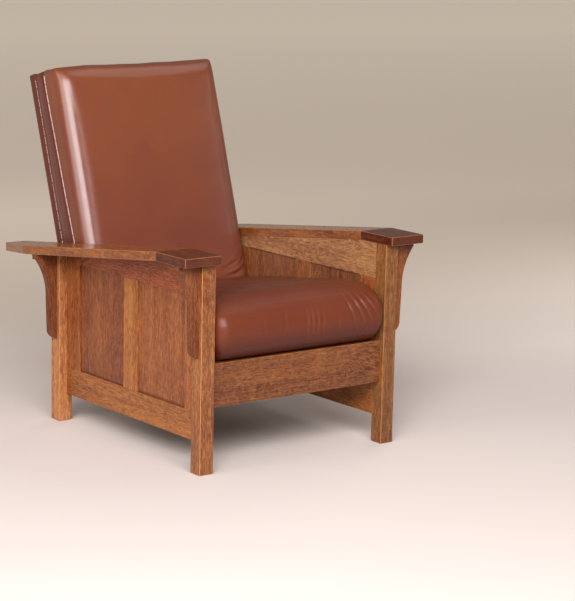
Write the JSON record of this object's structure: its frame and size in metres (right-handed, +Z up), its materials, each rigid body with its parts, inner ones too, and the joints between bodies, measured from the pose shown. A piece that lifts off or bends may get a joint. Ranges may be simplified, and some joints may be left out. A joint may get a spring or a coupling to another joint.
{
  "type": "mission reclining armchair",
  "caption": "Oak mission armchair with panelled sides, bent arms on corbels, a loose leather seat cushion and a leather back that reclines onto a rod.",
  "frame": {"origin": "on the floor, below the middle of the chair's outline seen from above", "axes": "+X to the right as seen from the front, +Y to the chair's rear, +Z up"},
  "size_m": [0.856, 1.0578, 1.076],
  "materials": {
    "back_leather": "polished",
    "band_leather": "polished",
    "nylon_spacer": "matte",
    "oak_arm": "gloss lacquer",
    "oak_frame": "satin lacquer",
    "oak_panel": "satin lacquer",
    "oak_rack": "satin lacquer",
    "oak_turned": "satin lacquer",
    "plain_hardwood": "raw",
    "seat_leather": "polished",
    "steel_pin": "plain",
    "webbing": "woven"
  },
  "bodies": {
    "frame": {"front_post_left": "oak_frame", "front_post_right": "oak_frame", "rear_post_left": "oak_frame", "rear_post_right": "oak_frame", "arm_front_left": "oak_arm", "arm_front_right": "oak_arm", "arm_rear_left": "oak_arm", "arm_rear_right": "oak_arm", "side_bottom_rail_left": "oak_frame", "side_bottom_rail_right": "oak_frame", "side_top_rail_left": "oak_frame", "side_top_rail_right": "oak_frame", "side_front_stile_left": "oak_frame", "side_front_stile_right": "oak_frame", "side_mullion_left": "oak_frame", "side_mullion_right": "oak_frame", "side_rear_stile_left": "oak_frame", "side_rear_stile_right": "oak_frame", "side_panel_front_left": "oak_panel", "side_panel_front_right": "oak_panel", "side_panel_rear_left": "oak_panel", "side_panel_rear_right": "oak_panel", "corbel_front_left": "oak_frame", "corbel_front_right": "oak_frame", "corbel_rear_left": "oak_frame", "corbel_rear_right": "oak_frame", "seat_cleat_left": "plain_hardwood", "seat_cleat_right": "plain_hardwood", "seat_frame_side_left": "plain_hardwood", "seat_frame_side_right": "plain_hardwood", "rack_plate_left": "oak_rack", "rack_plate_right": "oak_rack", "rack_shelf_left": "oak_rack", "rack_shelf_right": "oak_rack", "pivot_pin_left": "steel_pin", "pivot_pin_right": "steel_pin", "pivot_spacer_left": "nylon_spacer", "pivot_spacer_right": "nylon_spacer", "front_rail": "oak_frame", "rear_rail": "oak_frame", "seat_frame_front": "plain_hardwood", "seat_frame_rear": "plain_hardwood", "seat_webbing": "webbing"},
    "back": {"back_stile_left": "plain_hardwood", "back_stile_right": "plain_hardwood", "back_top_rail": "plain_hardwood", "back_middle_rail": "plain_hardwood", "back_bottom_rail": "plain_hardwood", "back_webbing": "webbing", "outside_back_panel": "band_leather", "back_band_left": "band_leather", "back_band_right": "band_leather", "back_band_top": "band_leather", "back_cushion": "back_leather"},
    "support_rod": {"support_rod": "oak_turned"},
    "peg_left": {"peg_left": "oak_turned"},
    "peg_right": {"peg_right": "oak_turned"},
    "seat_cushion": {"seat_cushion": "seat_leather"}
  },
  "joints": [
    {"name": "back_recline", "type": "hinge", "parent": "frame", "child": "back", "pos_m": [0, 0.267, 0.345], "axis": [-1, 0, 0], "range_deg": [0, 18]},
    {"name": "support_rod_slide", "type": "slide", "parent": "frame", "child": "support_rod", "axis": [0, 0.9928, -0.1201], "range_m": [0, 0.06381]},
    {"name": "peg_left_pull", "type": "slide", "parent": "frame", "child": "peg_left", "axis": [-1, 0, 0], "range_m": [0, 0.036]},
    {"name": "peg_right_pull", "type": "slide", "parent": "frame", "child": "peg_right", "axis": [1, 0, 0], "range_m": [0, 0.036]},
    {"name": "seat_cushion_lift", "type": "slide", "parent": "frame", "child": "seat_cushion", "axis": [0, 0, 1], "range_m": [0, 0.12]}
  ],
  "couplings": [
    {"joint": "support_rod_slide", "follows": "back_recline", "m_per_rad": 0.20308}
  ]
}
